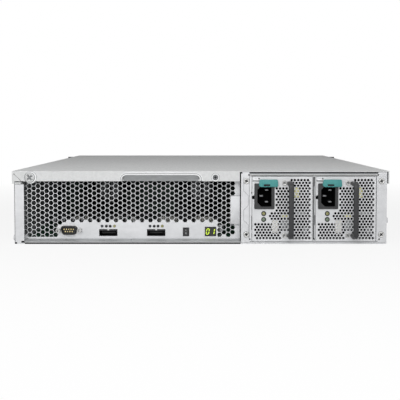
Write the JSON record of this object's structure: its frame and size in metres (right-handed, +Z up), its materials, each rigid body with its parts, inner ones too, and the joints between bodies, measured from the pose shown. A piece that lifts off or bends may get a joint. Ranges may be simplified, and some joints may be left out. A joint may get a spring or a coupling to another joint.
{
  "type": "disk shelf enclosure",
  "caption": "Rack-mount disk shelf with slide-off cover, vented rear panel with ports, pull-out power supplies, fans and drive carriers with levers.",
  "frame": {"origin": "on the underside of the base pan, midway across and midway between the rear edge and the rack ears' face", "axes": "+X right as seen from the rear, +Y towards the drive bays (the rear with its ports faces -Y), +Z up"},
  "size_m": [0.4826, 0.528, 0.086],
  "materials": {
    "zinc_sheet": "plain galvanised sheet, satin",
    "cover_sheet": "pre-plated sheet, satin",
    "circuit_board": "solder-masked laminate",
    "port_metal": "nickel-plated shell",
    "screw_metal": "nickel-plated",
    "black_plastic": "moulded, fine texture",
    "teal_plastic": "moulded teal",
    "lens": "diffusing lens",
    "ear_paint": "black powder coat"
  },
  "bodies": {
    "chassis": {"chassis_base": "zinc_sheet", "drive_cage": "zinc_sheet", "rear_panel": "zinc_sheet", "psu_cage": "zinc_sheet", "rack_ear_left": "ear_paint", "rack_ear_right": "ear_paint", "backplane": "circuit_board", "expander_board": "circuit_board", "power_board": "circuit_board", "serial_port": "port_metal", "jackscrews": "screw_metal", "sas_ports": "port_metal", "port_light_pipes": "lens", "switch_housing": "black_plastic", "id_display": "black_plastic", "fan_frames": "black_plastic", "cage_screws": "screw_metal"},
    "cover": {"top_cover": "cover_sheet"},
    "captive_screw_left": {"thumbscrew_left": "screw_metal"},
    "captive_screw_right": {"thumbscrew_right": "screw_metal"},
    "rocker": {"power_rocker": "black_plastic"},
    "fan_1": {"fan_rotor_1": "black_plastic"},
    "fan_2": {"fan_rotor_2": "black_plastic"},
    "fan_3": {"fan_rotor_3": "black_plastic"},
    "power_supply_1": {"psu_1_case": "zinc_sheet", "psu_1_faceplate": "zinc_sheet", "psu_1_inlet": "black_plastic", "psu_1_handle": "black_plastic", "psu_1_leds": "lens"},
    "psu_1_release": {"psu_1_latch": "teal_plastic"},
    "power_supply_2": {"psu_2_case": "zinc_sheet", "psu_2_faceplate": "zinc_sheet", "psu_2_inlet": "black_plastic", "psu_2_handle": "black_plastic", "psu_2_leds": "lens"},
    "psu_2_release": {"psu_2_latch": "teal_plastic"},
    "carrier_1": {"drive_carrier_1": "black_plastic"},
    "lever_1": {"carrier_lever_1": "black_plastic"},
    "carrier_2": {"drive_carrier_2": "black_plastic"},
    "lever_2": {"carrier_lever_2": "black_plastic"},
    "carrier_3": {"drive_carrier_3": "black_plastic"},
    "lever_3": {"carrier_lever_3": "black_plastic"},
    "carrier_4": {"drive_carrier_4": "black_plastic"},
    "lever_4": {"carrier_lever_4": "black_plastic"},
    "carrier_5": {"drive_carrier_5": "black_plastic"},
    "lever_5": {"carrier_lever_5": "black_plastic"},
    "carrier_6": {"drive_carrier_6": "black_plastic"},
    "lever_6": {"carrier_lever_6": "black_plastic"},
    "carrier_7": {"drive_carrier_7": "black_plastic"},
    "lever_7": {"carrier_lever_7": "black_plastic"},
    "carrier_8": {"drive_carrier_8": "black_plastic"},
    "lever_8": {"carrier_lever_8": "black_plastic"},
    "carrier_9": {"drive_carrier_9": "black_plastic"},
    "lever_9": {"carrier_lever_9": "black_plastic"},
    "carrier_10": {"drive_carrier_10": "black_plastic"},
    "lever_10": {"carrier_lever_10": "black_plastic"},
    "carrier_11": {"drive_carrier_11": "black_plastic"},
    "lever_11": {"carrier_lever_11": "black_plastic"},
    "carrier_12": {"drive_carrier_12": "black_plastic"},
    "lever_12": {"carrier_lever_12": "black_plastic"}
  },
  "joints": [
    {"name": "cover_slide", "type": "slide", "parent": "chassis", "child": "cover", "axis": [0, -1, 0], "range_m": [0, 0.53]},
    {"name": "captive_screw_left_turn", "type": "hinge", "parent": "cover", "child": "captive_screw_left", "pos_m": [-0.2005, -0.254, 0.0785], "axis": [0, 1, 0], "continuous": true},
    {"name": "captive_screw_right_turn", "type": "hinge", "parent": "cover", "child": "captive_screw_right", "pos_m": [0.0174, -0.254, 0.0785], "axis": [0, 1, 0], "continuous": true},
    {"name": "power_rocker_tilt", "type": "hinge", "parent": "chassis", "child": "rocker", "pos_m": [-0.0174, -0.2447, 0.0131], "axis": [1, 0, 0], "range_deg": [0, 16]},
    {"name": "fan_1_spin", "type": "hinge", "parent": "chassis", "child": "fan_1", "pos_m": [-0.14, 0.039, 0.0415], "axis": [0, 1, 0], "continuous": true},
    {"name": "fan_2_spin", "type": "hinge", "parent": "chassis", "child": "fan_2", "pos_m": [0, 0.039, 0.0415], "axis": [0, 1, 0], "continuous": true},
    {"name": "fan_3_spin", "type": "hinge", "parent": "chassis", "child": "fan_3", "pos_m": [0.14, 0.039, 0.0415], "axis": [0, 1, 0], "continuous": true},
    {"name": "power_supply_1_slide", "type": "slide", "parent": "chassis", "child": "power_supply_1", "axis": [0, -1, 0], "range_m": [0, 0.2]},
    {"name": "psu_1_latch_press", "type": "slide", "parent": "power_supply_1", "child": "psu_1_release", "axis": [1, 0, 0], "range_m": [0, 0.002], "stiffness_N_per_m": 2000, "springref_m": -0.001},
    {"name": "power_supply_2_slide", "type": "slide", "parent": "chassis", "child": "power_supply_2", "axis": [0, -1, 0], "range_m": [0, 0.2]},
    {"name": "psu_2_latch_press", "type": "slide", "parent": "power_supply_2", "child": "psu_2_release", "axis": [1, 0, 0], "range_m": [0, 0.002], "stiffness_N_per_m": 2000, "springref_m": -0.001},
    {"name": "carrier_1_slide", "type": "slide", "parent": "chassis", "child": "carrier_1", "axis": [0, 1, 0], "range_m": [0, 0.18]},
    {"name": "lever_1_swing", "type": "hinge", "parent": "carrier_1", "child": "lever_1", "pos_m": [-0.20428, 0.2504, 0.01563], "axis": [0, 0, 1], "range_deg": [0, 60]},
    {"name": "carrier_2_slide", "type": "slide", "parent": "chassis", "child": "carrier_2", "axis": [0, 1, 0], "range_m": [0, 0.18]},
    {"name": "lever_2_swing", "type": "hinge", "parent": "carrier_2", "child": "lever_2", "pos_m": [-0.09582, 0.2504, 0.01563], "axis": [0, 0, 1], "range_deg": [0, 60]},
    {"name": "carrier_3_slide", "type": "slide", "parent": "chassis", "child": "carrier_3", "axis": [0, 1, 0], "range_m": [0, 0.18]},
    {"name": "lever_3_swing", "type": "hinge", "parent": "carrier_3", "child": "lever_3", "pos_m": [0.01263, 0.2504, 0.01563], "axis": [0, 0, 1], "range_deg": [0, 60]},
    {"name": "carrier_4_slide", "type": "slide", "parent": "chassis", "child": "carrier_4", "axis": [0, 1, 0], "range_m": [0, 0.18]},
    {"name": "lever_4_swing", "type": "hinge", "parent": "carrier_4", "child": "lever_4", "pos_m": [0.12108, 0.2504, 0.01563], "axis": [0, 0, 1], "range_deg": [0, 60]},
    {"name": "carrier_5_slide", "type": "slide", "parent": "chassis", "child": "carrier_5", "axis": [0, 1, 0], "range_m": [0, 0.18]},
    {"name": "lever_5_swing", "type": "hinge", "parent": "carrier_5", "child": "lever_5", "pos_m": [-0.20428, 0.2504, 0.0431], "axis": [0, 0, 1], "range_deg": [0, 60]},
    {"name": "carrier_6_slide", "type": "slide", "parent": "chassis", "child": "carrier_6", "axis": [0, 1, 0], "range_m": [0, 0.18]},
    {"name": "lever_6_swing", "type": "hinge", "parent": "carrier_6", "child": "lever_6", "pos_m": [-0.09582, 0.2504, 0.0431], "axis": [0, 0, 1], "range_deg": [0, 60]},
    {"name": "carrier_7_slide", "type": "slide", "parent": "chassis", "child": "carrier_7", "axis": [0, 1, 0], "range_m": [0, 0.18]},
    {"name": "lever_7_swing", "type": "hinge", "parent": "carrier_7", "child": "lever_7", "pos_m": [0.01263, 0.2504, 0.0431], "axis": [0, 0, 1], "range_deg": [0, 60]},
    {"name": "carrier_8_slide", "type": "slide", "parent": "chassis", "child": "carrier_8", "axis": [0, 1, 0], "range_m": [0, 0.18]},
    {"name": "lever_8_swing", "type": "hinge", "parent": "carrier_8", "child": "lever_8", "pos_m": [0.12108, 0.2504, 0.0431], "axis": [0, 0, 1], "range_deg": [0, 60]},
    {"name": "carrier_9_slide", "type": "slide", "parent": "chassis", "child": "carrier_9", "axis": [0, 1, 0], "range_m": [0, 0.18]},
    {"name": "lever_9_swing", "type": "hinge", "parent": "carrier_9", "child": "lever_9", "pos_m": [-0.20428, 0.2504, 0.07057], "axis": [0, 0, 1], "range_deg": [0, 60]},
    {"name": "carrier_10_slide", "type": "slide", "parent": "chassis", "child": "carrier_10", "axis": [0, 1, 0], "range_m": [0, 0.18]},
    {"name": "lever_10_swing", "type": "hinge", "parent": "carrier_10", "child": "lever_10", "pos_m": [-0.09582, 0.2504, 0.07057], "axis": [0, 0, 1], "range_deg": [0, 60]},
    {"name": "carrier_11_slide", "type": "slide", "parent": "chassis", "child": "carrier_11", "axis": [0, 1, 0], "range_m": [0, 0.18]},
    {"name": "lever_11_swing", "type": "hinge", "parent": "carrier_11", "child": "lever_11", "pos_m": [0.01263, 0.2504, 0.07057], "axis": [0, 0, 1], "range_deg": [0, 60]},
    {"name": "carrier_12_slide", "type": "slide", "parent": "chassis", "child": "carrier_12", "axis": [0, 1, 0], "range_m": [0, 0.18]},
    {"name": "lever_12_swing", "type": "hinge", "parent": "carrier_12", "child": "lever_12", "pos_m": [0.12108, 0.2504, 0.07057], "axis": [0, 0, 1], "range_deg": [0, 60]}
  ]
}
